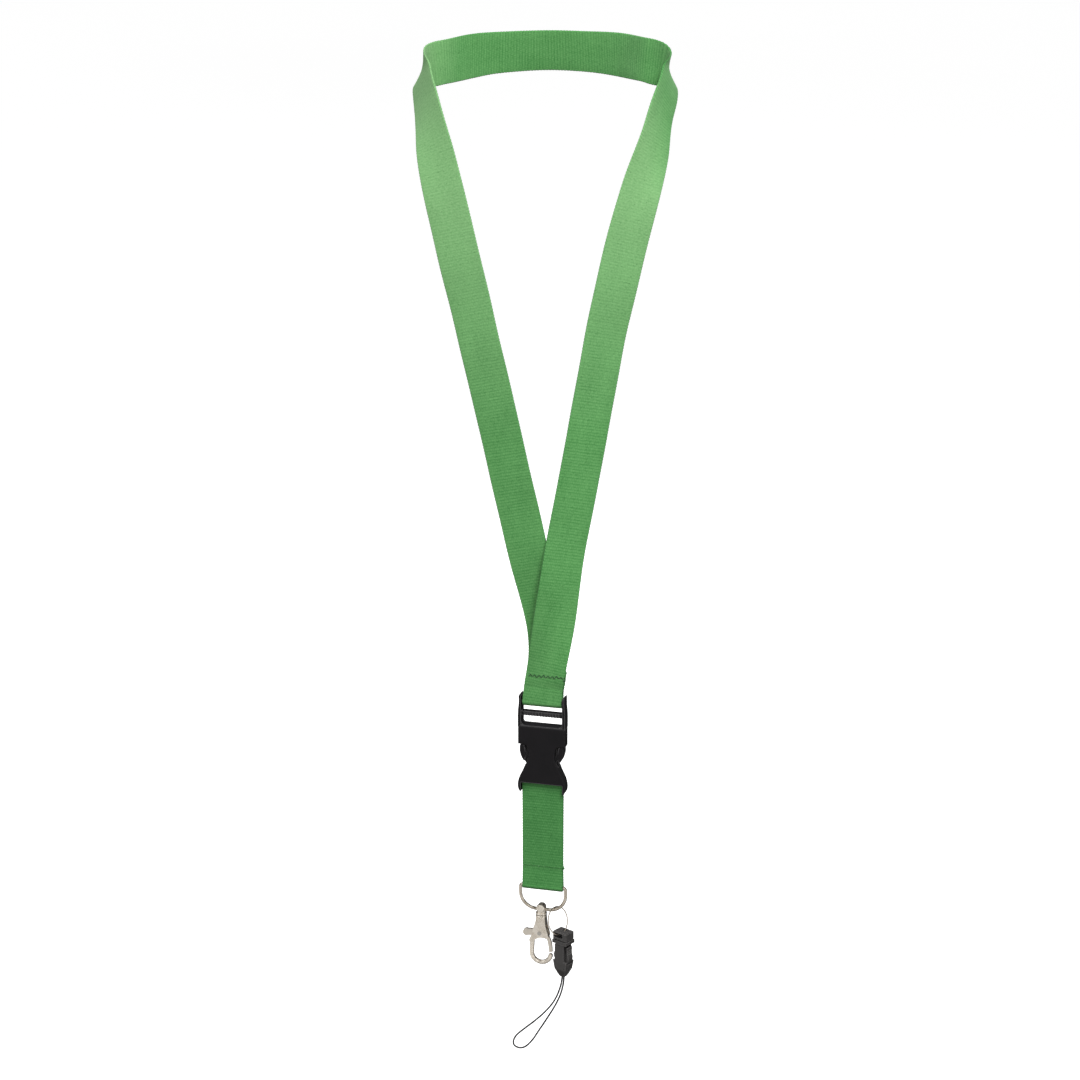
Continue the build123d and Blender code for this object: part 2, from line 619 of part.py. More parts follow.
def corner_radii(points):
    """The largest comfortable arc at each inner point of a route."""
    radii = []
    for a, b, c in zip(points, points[1:], points[2:]):
        run = min((b - a).length, (c - b).length)
        turn = math.radians((b - a).get_angle(c - b))
        radii.append(0.45 * run / math.tan(turn / 2))
    return radii


def phone_cord():
    """Thin round cord, one loop from the knot back to the knot."""
    points = [Vector(x, y + HANG_Y, z) for x, y, z in CORD_ROUTE]
    radii = corner_radii(points)
    path = FilletPolyline(*points, radius=radii)
    print("cord radii", [round(r, 1) for r in radii], "length", round(path.length, 1))
    profile = Plane(origin=points[0], z_dir=(path % 0)) * Circle(CORD_R)
    cord = sweep(profile, path=path)
    print("cord volume", round(cord.volume, 2), "expected", round(math.pi * CORD_R**2 * path.length, 2))
    return cord


def main():
    os.makedirs("parts", exist_ok=True)
    save("neck_webbing", neck_webbing())
    join = Location((JOIN_X - 0.4, 0, 0)) * stitch_row(JOIN_Z, 8.3, 1.75, 11)
    save("neck_join_stitching", hang(join))
    save("buckle_male_frame", hang(male_frame()))
    save("prong_left", hang(prong(-1)))
    save("prong_right", hang(prong(1)))
    save("buckle_female_body", hang(female_body()))
    save("drop_webbing", hang(drop_webbing()))
    save("drop_stitching", hang(Location((0, HANG_Y, 0)) * stitch_row(STITCH_Z, 9.3, 1.15, 11)))
    save("d_ring", hang(d_ring()))
    save("swivel_eye", hang(swivel_eye()))
    save("swivel_rivet", hang(swivel_rivet()))
    save("hook_body", hang(hook_body()))
    save("trigger_lever", hang(trigger_lever()))
    save("lever_rivet", hang(lever_rivet()))
    save("lever_spring", hang(lever_spring()))
    save("jump_ring", hang(jump_ring()))
    save("connector_cap", hang(connector_cap()))
    save("connector_body", hang(connector_body()))
    save("connector_latch_left", hang(connector_latch(-1)))
    save("connector_latch_right", hang(connector_latch(1)))
    save("cord_knot", hang(cord_knot()))
    save("phone_cord", hang(phone_cord()))


main()
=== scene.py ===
import math

import bpy
import numpy as np
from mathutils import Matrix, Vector

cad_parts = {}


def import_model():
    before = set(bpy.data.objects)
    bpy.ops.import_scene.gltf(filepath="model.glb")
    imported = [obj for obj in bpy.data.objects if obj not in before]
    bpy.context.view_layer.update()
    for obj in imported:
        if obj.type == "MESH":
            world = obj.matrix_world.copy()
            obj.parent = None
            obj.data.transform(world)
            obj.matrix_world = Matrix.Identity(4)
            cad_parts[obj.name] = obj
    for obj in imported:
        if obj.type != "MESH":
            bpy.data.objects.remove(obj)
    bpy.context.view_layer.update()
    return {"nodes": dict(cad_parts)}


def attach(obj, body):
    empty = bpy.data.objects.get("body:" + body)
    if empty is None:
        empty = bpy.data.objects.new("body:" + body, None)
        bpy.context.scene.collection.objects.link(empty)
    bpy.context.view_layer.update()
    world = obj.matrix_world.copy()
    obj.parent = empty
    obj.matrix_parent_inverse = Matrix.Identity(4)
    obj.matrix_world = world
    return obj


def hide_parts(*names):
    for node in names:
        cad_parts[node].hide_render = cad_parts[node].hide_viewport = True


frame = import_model()

MM = 0.001

# Sizes of the webbing and its places, mm.
DROP = np.array([21.5, -82.2, 0.0])   # the vertical line that the buckle hangs on
HANG_Y = 0.5                          # the drop webbing, ring and hook hang this far behind it
WEB_WIDTH = 19.6
GATHERED = 18.9                       # width of the neck webbing inside the buckle's rails
HALF_T = 0.48                         # half the webbing's thickness
RIB = 1.35                            # pitch of the webbing's cross ribs
ROW = RIB / 6                         # rows of mesh along the webbing
WARP = 1.1                            # pitch of the floats across the webbing
RIM = 0.35                            # width of the darker rim at each edge: painted shade along the selvedges


# ------------------------------------------------------------------ small helpers

def smooth(points, steps):
    """Points on a smooth curve through the given points."""
    p = np.array(points, float)
    p = np.vstack([2 * p[0] - p[1], p, 2 * p[-1] - p[-2]])
    t = (np.arange(steps) / steps)[:, None]
    out = []
    for p0, p1, p2, p3 in zip(p, p[1:], p[2:], p[3:]):
        out.append(
            p1
            + (p2 - p0) * (t / 2)
            + (2 * p0 - 5 * p1 + 4 * p2 - p3) * (t * t / 2)
            + (3 * p1 - p0 - 3 * p2 + p3) * (t**3 / 2)
        )
    return np.vstack(out + [p[-2:-1]])


def resample(line, step, *others):
    """The line and the rows beside it at even steps of the line's length."""
    run = np.concatenate([[0], np.cumsum(np.linalg.norm(np.diff(line, axis=0), axis=1))])
    at = np.linspace(0, run[-1], int(round(run[-1] / step)) + 1)

    def pick(a):
        return np.stack([np.interp(at, run, a[:, k]) for k in range(a.shape[1])], axis=1)

    return at, pick(line), *[pick(o) for o in others]


def soften(a, width):
    """A running average along the rows, with the ends held."""
    kernel = np.hanning(2 * width + 3)[1:-1]
    kernel /= kernel.sum()
    first = 2 * a[0] - a[width:0:-1]
    last = 2 * a[-1] - a[-2:-width - 2:-1]
    padded = np.vstack([first, a, last])
    return np.stack([np.convolve(padded[:, k], kernel, "valid") for k in range(a.shape[1])], axis=1)


def unit(a):
    return a / np.linalg.norm(a, axis=-1, keepdims=True)


def mesh_object(name, verts, faces, material, uvs=None):
    """An object from arrays in millimetres; uvs holds one pair for each corner of each face."""
    mesh = bpy.data.meshes.new(name)
    mesh.from_pydata((np.asarray(verts, float) * MM).tolist(), [], [list(map(int, f)) for f in faces])
    if uvs is not None:
        layer = mesh.uv_layers.new(name="Weave")
        layer.data.foreach_set("uv", np.asarray(uvs, np.float32).ravel())
    mesh.shade_smooth()
    mesh.materials.append(material)
    obj = bpy.data.objects.new(name, mesh)
    bpy.context.scene.collection.objects.link(obj)
    return obj


# ------------------------------------------------------------------ materials

class Paint:
    """A Principled material and the few node calls that its patterns need."""

    def __init__(self, name, **sockets):
        self.material = bpy.data.materials.new(name)
        self.material.use_nodes = True
        self.tree = self.material.node_tree
        self.shader = self.tree.nodes["Principled BSDF"]
        for socket, value in sockets.items():
            self.put(self.shader, socket.replace("_", " "), value)

    def put(self, node, socket, value):
        target = node.inputs[socket]
        if isinstance(value, bpy.types.NodeSocket):
            self.tree.links.new(value, target)
        elif hasattr(value, "__len__") and len(value) == 3 and target.type == "RGBA":
            target.default_value = (*value, 1.0)
        else:
            target.default_value = value

    def node(self, kind, **inputs):
        node = self.tree.nodes.new(kind)
        for socket, value in inputs.items():
            self.put(node, socket.replace("_", " "), value)
        return node

    def calc(self, operation, a, b=0.0):
        node = self.tree.nodes.new("ShaderNodeMath")
        node.operation = operation
        self.put(node, 0, a)
        self.put(node, 1, b)
        return node.outputs[0]

    def total(self, *values):
        """The sum of the values, from the first to the last."""
        added = values[0]
        for value in values[1:]:
            added = self.calc("ADD", added, value)
        return added

    def span(self, value, low, high, to_low=0.0, to_high=1.0):
        ends = {"From_Min": low, "From_Max": high, "To_Min": to_low, "To_Max": to_high}
        return self.node("ShaderNodeMapRange", Value=value, **ends).outputs[0]

    def blend(self, factor, a, b):
        node = self.tree.nodes.new("ShaderNodeMix")
        node.data_type = "RGBA"
        self.put(node, 0, factor)
        self.put(node, 6, a)
        self.put(node, 7, b)
        return node.outputs[2]

    def noise(self, vector, scale, detail=3.0):
        return self.node("ShaderNodeTexNoise", Vector=vector, Scale=scale, Detail=detail).outputs[0]

    def place(self):
        """Position in metres, the same for every piece."""
        return self.tree.nodes.new("ShaderNodeNewGeometry").outputs["Position"]

    def weave(self):
        """Millimetres across and along the webbing."""
        uv = self.tree.nodes.new("ShaderNodeUVMap")
        uv.uv_map = "Weave"
        split = self.node("ShaderNodeSeparateXYZ", Vector=uv.outputs[0])
        return uv.outputs[0], split.outputs[0], split.outputs[1]

    def stretch(self, vector, factors):
        node = self.tree.nodes.new("ShaderNodeMapping")
        self.put(node, "Vector", vector)
        node.inputs["Scale"].default_value = factors
        return node.outputs[0]

    def flecks(self, uv, cell, share, depth):
        """Short dark dashes across the webbing, in the given share of the pattern's cells."""
        dots = self.node("ShaderNodeTexVoronoi", Vector=self.stretch(uv, (cell, 2.1 * cell, 1)), Scale=1.0)
        near = self.span(dots.outputs["Distance"], 0.1, 0.36, depth, 0.0)
        chance = self.node("ShaderNodeSeparateColor", Color=dots.outputs["Color"]).outputs[0]
        return self.calc("MULTIPLY", near, self.span(chance, share, share + 0.01, 1.0, 0.0))

    def waves(self, turns):
        """A row of rounded humps, one for each turn."""
        return self.calc("ABSOLUTE", self.calc("SINE", self.calc("MULTIPLY", turns, math.pi)))

    def edges(self, radius):
        """1 along the piece's edges, 0 on its flats."""
        bevel = self.tree.nodes.new("ShaderNodeBevel")
        bevel.samples = 6
        bevel.inputs["Radius"].default_value = radius
        flat = self.tree.nodes.new("ShaderNodeNewGeometry").outputs["Normal"]
        dot = self.tree.nodes.new("ShaderNodeVectorMath")
        dot.operation = "DOT_PRODUCT"
        self.put(dot, 0, bevel.outputs[0])
        self.put(dot, 1, flat)
        return self.span(dot.outputs["Value"], 0.985, 0.9, 0.0, 1.0)

    def bump(self, height, distance, strength=1.0):
        node = self.node("ShaderNodeBump", Height=height, Distance=distance, Strength=strength)
        self.tree.links.new(node.outputs[0], self.shader.inputs["Normal"])

    def colour(self, value):
        self.put(self.shader, "Base Color", value)

    def roughness(self, value):
        self.put(self.shader, "Roughness", value)


def webbing_paint(name, light, dark, painted_sheen=None):
    """Ribbed polyester: cross ribs, alternating warp floats, uneven wefts and dark flecks, with a painted
    highlight on the rib crests and floats and painted shade in the grooves.

    A painted sheen colour makes the front strands paler high up, towards the wearer's shoulders: painted
    light and sheen where the light falls strongest.
    """
    paint = Paint(name, Roughness=0.8, Sheen_Weight=0.22, Sheen_Roughness=0.5, Specular_IOR_Level=0.22)
    paint.put(paint.shader, "Sheen Tint", (0.8, 1.0, 0.75))
    uv, across, along = paint.weave()
    turns = paint.calc("DIVIDE", along, RIB)
    parity = paint.calc("MULTIPLY", paint.calc("FLOOR", turns), 0.5)
    warp = paint.waves(paint.total(paint.calc("DIVIDE", across, WARP), parity))
    fibres = paint.noise(paint.stretch(uv, (9.0, 1.6, 1)), 1.0, 2.0)
    crest = paint.calc("POWER", paint.waves(turns), 0.7)
    height = paint.calc("MULTIPLY", crest, paint.span(warp, 0, 1, 0.5, 1.0))
    height = paint.total(height, paint.calc("MULTIPLY", fibres, 0.3))
    paint.bump(height, 0.06 * MM, 0.7)

    wefts = paint.noise(paint.stretch(uv, (0.07, 0.74, 1)), 1.0, 3.0)
    patches = paint.noise(paint.stretch(uv, (0.16, 0.035, 1)), 1.0, 2.0)
    grain = paint.noise(paint.stretch(uv, (0.8, 1.5, 1)), 1.0, 3.0)
    # The tone adds random wefts, patches and grain to painted light from the bump's height: paler crests,
    # darker grooves.
    tone_and_rib_light = paint.total(
        paint.span(wefts, 0.3, 0.7, -0.1, 0.1),
        paint.span(patches, 0.3, 0.7, -0.1, 0.1),
        paint.span(grain, 0.3, 0.7, -0.26, 0.26),
        paint.span(height, 0.2, 1.2, 0.2, 0.76),
    )
    # The darker rim is painted shade along each selvedge.
    rim = paint.span(paint.calc("ABSOLUTE", across), WEB_WIDTH / 2 - RIM, WEB_WIDTH / 2, 0.0, 0.55)
    base = paint.blend(paint.calc("SUBTRACT", tone_and_rib_light, rim), dark, light)
    if painted_sheen:
        # Painted light and sheen: the front strands turn paler towards the top, where the light falls
        # strongest; the back band is left out.
        at = paint.node("ShaderNodeSeparateXYZ", Vector=paint.place())
        high = paint.span(at.outputs["Z"], -0.165, -0.06, 0.0, 1.0)
        front = paint.span(at.outputs["Y"], -0.028, -0.046, 0.0, 1.0)
        upper_share = paint.calc("MULTIPLY", high, front)
        base = paint.blend(paint.calc("MULTIPLY", upper_share, paint.span(grain, 0.3, 0.7, 0.35, 0.6)), base, painted_sheen)
    speck = [0.45 * c for c in dark]
    for cell, share, depth in ((0.75, 0.09, 0.62), (1.3, 0.06, 0.45)):
        base = paint.blend(paint.flecks(uv, cell, share, depth), base, speck)
    paint.colour(base)
    return paint.material


def thread_paint(name, light, dark):
    """Sewing thread: two plies twisted round each other."""
    paint = Paint(name, Roughness=0.65, Sheen_Weight=0.3, Specular_IOR_Level=0.3)
    uv, across, along = paint.weave()
    twist = paint.total(paint.calc("MULTIPLY", along, 9.0), paint.calc("MULTIPLY", across, 2 * math.pi))
    ply = paint.span(paint.calc("SINE", twist), -1, 1)
    paint.bump(ply, 0.03 * MM, 0.8)
    # The colour follows the plies: a painted highlight on their crests and painted shade in the grooves
    # between them.
    paint.colour(paint.blend(ply, dark, light))
    return paint.material


def buckle_paint():
    """Moulded acetal: fine spark texture, faint flow marks, and edges that are smoother and painted paler as
    a highlight.
    """
    paint = Paint("buckle_plastic", Roughness=0.5, Specular_IOR_Level=0.14)
    place = paint.place()
    flow = paint.noise(place, 170.0, 4.0)
    spark = paint.noise(place, 5200.0, 2.0)
    paint.bump(spark, 0.012 * MM, 0.6)
    edge = paint.edges(0.55 * MM)
    base = paint.blend(flow, (0.0055, 0.0055, 0.0065), (0.0115, 0.0105, 0.0120))
    # The paler edge colour is a painted highlight.
    paint.colour(paint.blend(paint.calc("MULTIPLY", edge, 0.8), base, (0.13, 0.126, 0.13)))
    rough = paint.span(flow, 0.3, 0.7, 0.36, 0.52)
    paint.roughness(paint.calc("SUBTRACT", rough, paint.calc("MULTIPLY", edge, 0.1)))
    return paint.material


def connector_paint():
    """Moulded plastic with a soft shine, and a painted highlight that makes it paler along its edges."""
    paint = Paint("connector_plastic", Roughness=0.3, Specular_IOR_Level=0.34)
    place = paint.place()
    cloud = paint.noise(place, 260.0, 4.0)
    grain = paint.noise(place, 6000.0, 2.0)
    paint.bump(grain, 0.01 * MM, 0.5)
    edge = paint.edges(0.3 * MM)
    base = paint.blend(cloud, (0.028, 0.027, 0.027), (0.056, 0.053, 0.053))
    # The paler edge colour is a painted highlight.
    paint.colour(paint.blend(paint.calc("MULTIPLY", edge, 0.6), base, (0.26, 0.25, 0.245)))
    paint.roughness(paint.span(cloud, 0.3, 0.7, 0.24, 0.42))
    return paint.material


def metal_paint(name, colour, rough, relief, grain):
    """Bright metal: a little orange peel, fine scratches and dulled patches.

    The relief is in mm, and the grain is how fine the orange peel is.
    """
    paint = Paint(name, Metallic=1.0, Roughness=rough)
    place = paint.place()
    cloud = paint.noise(place, 330.0, 3.0)
    peel = paint.noise(place, grain, 3.0)
    scratch = paint.noise(paint.stretch(place, (3000, 3000, 500)), 1.0, 2.0)
    paint.bump(paint.total(peel, paint.calc("MULTIPLY", scratch, 0.08)), relief * MM)
    warm = [c * f for c, f in zip(colour, (0.9, 0.84, 0.76))]
    paint.colour(paint.blend(cloud, warm, colour))
    paint.roughness(paint.span(cloud, 0.3, 0.7, rough * 0.7, rough * 1.5))
    return paint.material


def cord_paint():
    """Tight round braid, its strands no more than a fine unevenness at this size."""
    paint = Paint("cord_braid", Roughness=0.62, Sheen_Weight=0.25, Specular_IOR_Level=0.4)
    place = paint.place()
    strands = paint.noise(place, 2400.0, 2.0)
    paint.bump(strands, 0.05 * MM, 0.9)
    paint.colour(paint.blend(strands, (0.008, 0.008, 0.009), (0.035, 0.034, 0.036)))
    return paint.material


def floor_paint():
    """Pale paper that glows a little, so that it stays even around the object."""
    paint = Paint("floor", Roughness=0.95, Specular_IOR_Level=0.0, Emission_Strength=0.35)
    paint.put(paint.shader, "Emission Color", (1.0, 1.0, 1.0))
    cloud = paint.noise(paint.place(), 0.7, 2.0)
    paint.colour(paint.blend(cloud, (0.90, 0.90, 0.90), (0.93, 0.93, 0.93)))
    return paint.material


# The neck webbing's painted sheen colour is painted light on its upper front strands.
NECK_GREEN = webbing_paint(
    "webbing_neck", (0.138, 0.378, 0.122), (0.050, 0.205, 0.051), painted_sheen=(0.275, 0.475, 0.225)
)
# The drop webbing's green is darker than the neck webbing's: painted shade for the lower strap, which gets
# less light.
SHADED_DROP_GREEN = webbing_paint("webbing_drop", (0.104, 0.340, 0.098), (0.035, 0.176, 0.040))
# The join's thread green is darker than the seam's: partly its own colour and partly painted shade for the
# shadows round its raised stitches.
JOIN_GREEN = thread_paint("thread_join", (0.020, 0.085, 0.025), (0.007, 0.035, 0.010))
SEAM_GREEN = thread_paint("thread_seam", (0.075, 0.270, 0.072), (0.030, 0.150, 0.034))
BUCKLE = buckle_paint()
CONNECTOR = connector_paint()
RING = metal_paint("ring_nickel", (0.64, 0.60, 0.55), 0.14, 0.004, 500.0)
CAST = metal_paint("hook_nickel", (0.92, 0.89, 0.84), 0.24, 0.02, 420.0)
SATIN = metal_paint("lever_nickel", (0.80, 0.78, 0.74), 0.38, 0.01, 900.0)
SPRING = metal_paint("spring_steel", (0.55, 0.54, 0.53), 0.25, 0.004, 900.0)
CORD = cord_paint()

CAD_PAINTS = {
    "buckle_male_frame": BUCKLE,
    "buckle_female_body": BUCKLE,
    "prong_left": BUCKLE,
    "prong_right": BUCKLE,
    "d_ring": RING,
    "jump_ring": RING,
    "swivel_eye": CAST,
    "swivel_rivet": CAST,
    "hook_body": CAST,
    "lever_rivet": SPRING,
    "lever_spring": SPRING,
    "trigger_lever": SATIN,
    "connector_cap": CONNECTOR,
    "connector_body": CONNECTOR,
    "connector_latch_left": CONNECTOR,
    "connector_latch_right": CONNECTOR,
    "cord_knot": CORD,
}
for node, material in CAD_PAINTS.items():
    for used in frame["nodes"][node].material_slots:
        used.material = material


# ------------------------------------------------------------------ camera and phone cord

CAMERA_AT = Vector((0.32098, -1.20488, 0.1468))
AIM_AT = Vector((0.02026, -0.08257, -0.20845))
camera_data = bpy.data.cameras.new("camera")
camera_data.lens = 90.0
camera_data.sensor_width = 36.0
camera_data.clip_end = 100.0
camera = bpy.data.objects.new("camera", camera_data)
camera.location = CAMERA_AT
camera.rotation_euler = (AIM_AT - CAMERA_AT).to_track_quat("-Z", "Y").to_euler()
bpy.context.scene.collection.objects.link(camera)
bpy.context.scene.camera = camera

# Route of the cord from its knot, round its loop and back, given from the drop line, mm.
CORD_ROUTE = [
    (9.5, 0.2, -418.9),
    (9.5, 0.2, -423.8),
    (8.6, -0.2, -429.2),
    (6.4, -1.0, -435.4),
    (2.4, -2.1, -441.2),
    (-3.2, -3.8, -446.7),
    (-8.7, -5.4, -451.2),
    (-12.5, -6.5, -454.9),
    (-13.1, -6.7, -459.4),
    (-8.7, -5.5, -461.2),
    (-4.6, -4.4, -457.5),
    (-1.0, -3.4, -451.3),
    (2.6, -2.4, -445.2),
    (6.1, -1.4, -439.0),
    (8.8, -0.7, -432.9),
    (10.1, -0.3, -427.2),
    (10.35, -0.2, -422.8),
    (10.3, -0.2, -418.9),
]
CORD_RADIUS = 0.42


def from_drop(point):
    """A place given from the drop line in mm, in metres."""
    return (np.array(point, float) + DROP + (0, HANG_Y, 0)) * MM


def phone_cord():
    """The cord as one tube along its route, ending on the knot inside the connector."""
    data = bpy.data.curves.new("phone_cord_braid", "CURVE")
    data.dimensions = "3D"
    data.resolution_u = 10
    data.bevel_depth = CORD_RADIUS * MM
    data.bevel_resolution = 4
    spline = data.splines.new("NURBS")
    spline.points.add(len(CORD_ROUTE) - 1)
    for point, at in zip(spline.points, CORD_ROUTE):
        point.co = (*from_drop(at), 1.0)
    spline.order_u = 3
    spline.use_endpoint_u = True
    data.materials.append(CORD)
    cord = bpy.data.objects.new("phone_cord_braid", data)
    bpy.context.scene.collection.objects.link(cord)
    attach(cord, "connector_lower")
    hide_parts("phone_cord")


phone_cord()


# ------------------------------------------------------------------ webbing

# Columns of the webbing's section from one edge to its middle: how far out as a share of the half width, and
# how thick as a share of the half thickness. A shallow line runs inside each selvedge.
SECTION = [
    (1.0, 0.0), (0.994, 0.5), (0.978, 0.82), (0.955, 0.94), (0.93, 0.96), (0.91, 0.9), (0.89, 0.97),
    (0.84, 1.0), (0.66, 1.0), (0.48, 1.0), (0.3, 1.0), (0.12, 1.0),
]
ACROSS = [(-x, t) for x, t in SECTION] + [(x, t) for x, t in SECTION[::-1]]
RING_OF_POINTS = ACROSS + [(x, -t) for x, t in ACROSS[-2:0:-1]]
EDGE_DIP = 0.2                        # depth of the scallop between two ribs at the selvedge, mm
FACE_DIP = 0.035                      # depth of the groove between two ribs on the faces, mm


def end_quads(n):
    """Faces that close an end row of n points, from the first edge to the second."""
    for k in range(len(ACROSS) - 1):
        quad = [k, k + 1, (n - k - 1) % n, (n - k) % n]
        yield list(dict.fromkeys(quad))


def ribbon(name, first, second, material, closed=False):
    """Ribbed webbing between two edge lines given as even rows, mm. Returns the object and its length."""
    middle = (first + second) / 2
    if closed:
        along = np.roll(middle, -1, axis=0) - np.roll(middle, 1, axis=0)
    else:
        along = np.gradient(middle, axis=0)
    along = unit(along)
    width = np.linalg.norm(second - first, axis=1)
    side = (second - first) / width[:, None]
    side = unit(side - along * (side * along).sum(axis=1)[:, None])
    normal = unit(np.cross(along, side))
    rows = len(middle)
    at = np.arange(rows) * ROW
    groove = 1 - np.abs(np.sin(math.pi * at / RIB)) ** 0.6
    half = width / 2 - EDGE_DIP * groove
    n = len(RING_OF_POINTS)
    verts = np.empty((rows, n, 3))
    for k, (x, t) in enumerate(RING_OF_POINTS):
        thick = HALF_T * t - np.sign(t) * FACE_DIP * groove
        verts[:, k] = middle + side * (half * x)[:, None] + normal * thick[:, None]
    faces, uvs = [], []
    xs = [x * WEB_WIDTH / 2 for x, t in RING_OF_POINTS]
    for i in range(rows if closed else rows - 1):
        a = i * n
        b = ((i + 1) % rows) * n
        s0, s1 = at[i], at[i] + ROW
        for k in range(n):
            m = (k + 1) % n
            faces.append((a + k, a + m, b + m, b + k))
            uvs += [(xs[k], s0), (xs[m], s0), (xs[m], s1), (xs[k], s1)]
    for row in () if closed else (0, rows - 1):
        for quad in end_quads(n):
            if row == 0:
                quad = quad[::-1]
            faces.append([row * n + q for q in quad])
            uvs += [(xs[q], at[row]) for q in quad]
    return mesh_object(name, verts.reshape(-1, 3), faces, material, uvs), rows * ROW


# The worn loop's two edges at stations from the back to the join, in the loop's own frame, mm. The first
# is the upper edge behind the neck and the inner edge of each strand.
LEFT_STATIONS = [
    ((-20, -6, 8.9), (-18.5, -1.5, -10.2)),
    ((-34, -14, 8.5), (-31, -9, -11.2)),
    ((-44.5, -25, 7.6), (-42, -22, -12.2)),
    ((-48.2, -27.5, 7.2), (-47.6, -26.5, -13.0)),
    ((-51.4, -32.5, 5.8), (-53.4, -28.6, -13.9)),
    ((-51.0, -38.0, 1.8), (-58.0, -29.3, -14.4)),
    ((-49.3, -45.5, -6.0), (-58.5, -33.5, -18.7)),
    ((-46.0, -53.0, -16.0), (-57.2, -42.7, -28.5)),
    ((-41.8, -59.5, -29.9), (-55.6, -53.2, -42.5)),
    ((-36.6, -64, -49), (-52.3, -60, -60)),
    ((-30, -68, -75), (-47.5, -63.4, -82.7)),
    ((-21.8, -72.5, -110), (-39.3, -67.3, -117)),
    ((-13.4, -76, -146), (-31, -70.7, -152.7)),
    ((-5.4, -78.5, -182), (-23, -73.7, -188.8)),
    ((2.5, -80.8, -216.5), (-15, -76.5, -223.4)),
    ((8.4, -82.6, -246), (-7.7, -79.4, -252.4)),
]
BACK_STATION = ((0, -2.4, 9.3), (0, 2.4, -9.5))
RIGHT_STATIONS = [
    ((20, -6, 9.1), (18.8, -1.5, -9.7)),
    ((34.5, -14, 9.0), (31.8, -9, -10.4)),
    ((45.4, -25, 8.5), (42.5, -22, -11.0)),
    ((49.6, -28.5, 8.2), (48.0, -26.5, -12.2)),
    ((53.1, -33.0, 6.7), (53.6, -29.3, -13.1)),
    ((53.0, -38.5, 1.9), (58.7, -29.6, -14.6)),
    ((51.2, -45.5, -6.0), (59.3, -32.8, -18.8)),
    ((47.2, -53.0, -16.2), (56.7, -41.5, -29.1)),
    ((42.4, -59.5, -29.9), (54.2, -51.1, -43.3)),
    ((35.2, -64, -49), (50.3, -60.3, -60)),
    ((27.3, -68, -75), (44.8, -64, -83)),
    ((19.5, -72.5, -110), (37, -67.5, -117)),
    ((12.9, -76.5, -146), (30.5, -71, -152)),
    ((6.3, -80, -182), (24, -75, -188)),
    ((-0.2, -84, -216.5), (17.7, -80, -222)),
    ((-4.7, -86, -245), (14.1, -84.8, -249.5)),
]
NECK_TURN = math.radians(15)          # the loop is turned this far from the hardware

# The join above the buckle and the bars that the webbing is folded round, mm.
JOIN_Z = -273.0
JOIN_X = 1.9                          # the join sits this far to the right of the drop line
JOIN_HALF = 9.2                       # half width of the layers there
JOIN_STEP = 3.0                       # the layers run straight this far above the stitching
LAYER = 1.12                          # from one layer's middle to the next
LEFT_END_Z = -279.3                   # the left strand's cut end
RIGHT_LOW_Z = -279.0                  # where the right strand starts towards the bar
BAR_GAP = 0.08
WEB_MIDDLE = 0.5                      # from a bar's surface to the webbing's middle, past the gap
TOP_BAR_Z, TOP_BAR_R = -286.2, 1.1
LOW_BAR_Z, LOW_BAR_R = -325.0, 1.0
RING_BAR_Z, RING_BAR_R = -378.1, 0.8
PINCH = 0.56                          # half the distance between the drop webbing's two layers
STITCH_Z = -367.5
LOOSE_FROM_Z = -262.0                 # above here the worn strap starts to wave
LOOSE_OVER = 25.0                     # and within this height it does so fully
SOFT_ROWS = 10                        # reach of the softening at the loop's bends, rows
LOOP_STEPS, LAYER_STEPS = 30, 12      # points of a smooth curve between two stations


def turned(p):
    """A point of the loop's own frame in the part's frame."""
    x, y, z = p
    c, s = math.cos(NECK_TURN), math.sin(NECK_TURN)
    return (x * c - y * s, x * s + y * c, z)


def across(centre, half, y, z):
    """The two edges of the webbing at one place, given from the drop line."""
    return [DROP + (centre + side * half, y, z) for side in (-1, 1)]


def neck_edges():
    """The strap's two edge lines, from the left strand's cut end round the neck and the bar to the other."""
    above = JOIN_Z + JOIN_STEP
    pairs = [across(0.5, -JOIN_HALF, 0, LEFT_END_Z), across(JOIN_X, -JOIN_HALF, 0, above)]
    pairs += [(turned(a), turned(b)) for a, b in LEFT_STATIONS[::-1] + [BACK_STATION] + RIGHT_STATIONS]
    pairs += [across(JOIN_X, JOIN_HALF, -LAYER, above), across(0.5, JOIN_HALF, -LAYER, RIGHT_LOW_Z)]
    fold_r = TOP_BAR_R + BAR_GAP + WEB_MIDDLE
    tail = []
    for angle in np.radians(np.arange(0, 180.1, 6)):
        tail.append(across(0, GATHERED / 2, -fold_r * math.cos(angle), TOP_BAR_Z - fold_r * math.sin(angle)))
    end = [(0.5, RIGHT_LOW_Z), (0.8, -276.0), (JOIN_X - 0.4, JOIN_Z), (JOIN_X + 0.2, above + 0.5)]
    tail += [across(centre, JOIN_HALF, LAYER, z) for centre, z in end]
    return [np.vstack([smooth([p[k] for p in pairs], LOOP_STEPS), [p[k] for p in tail]]) for k in (0, 1)]


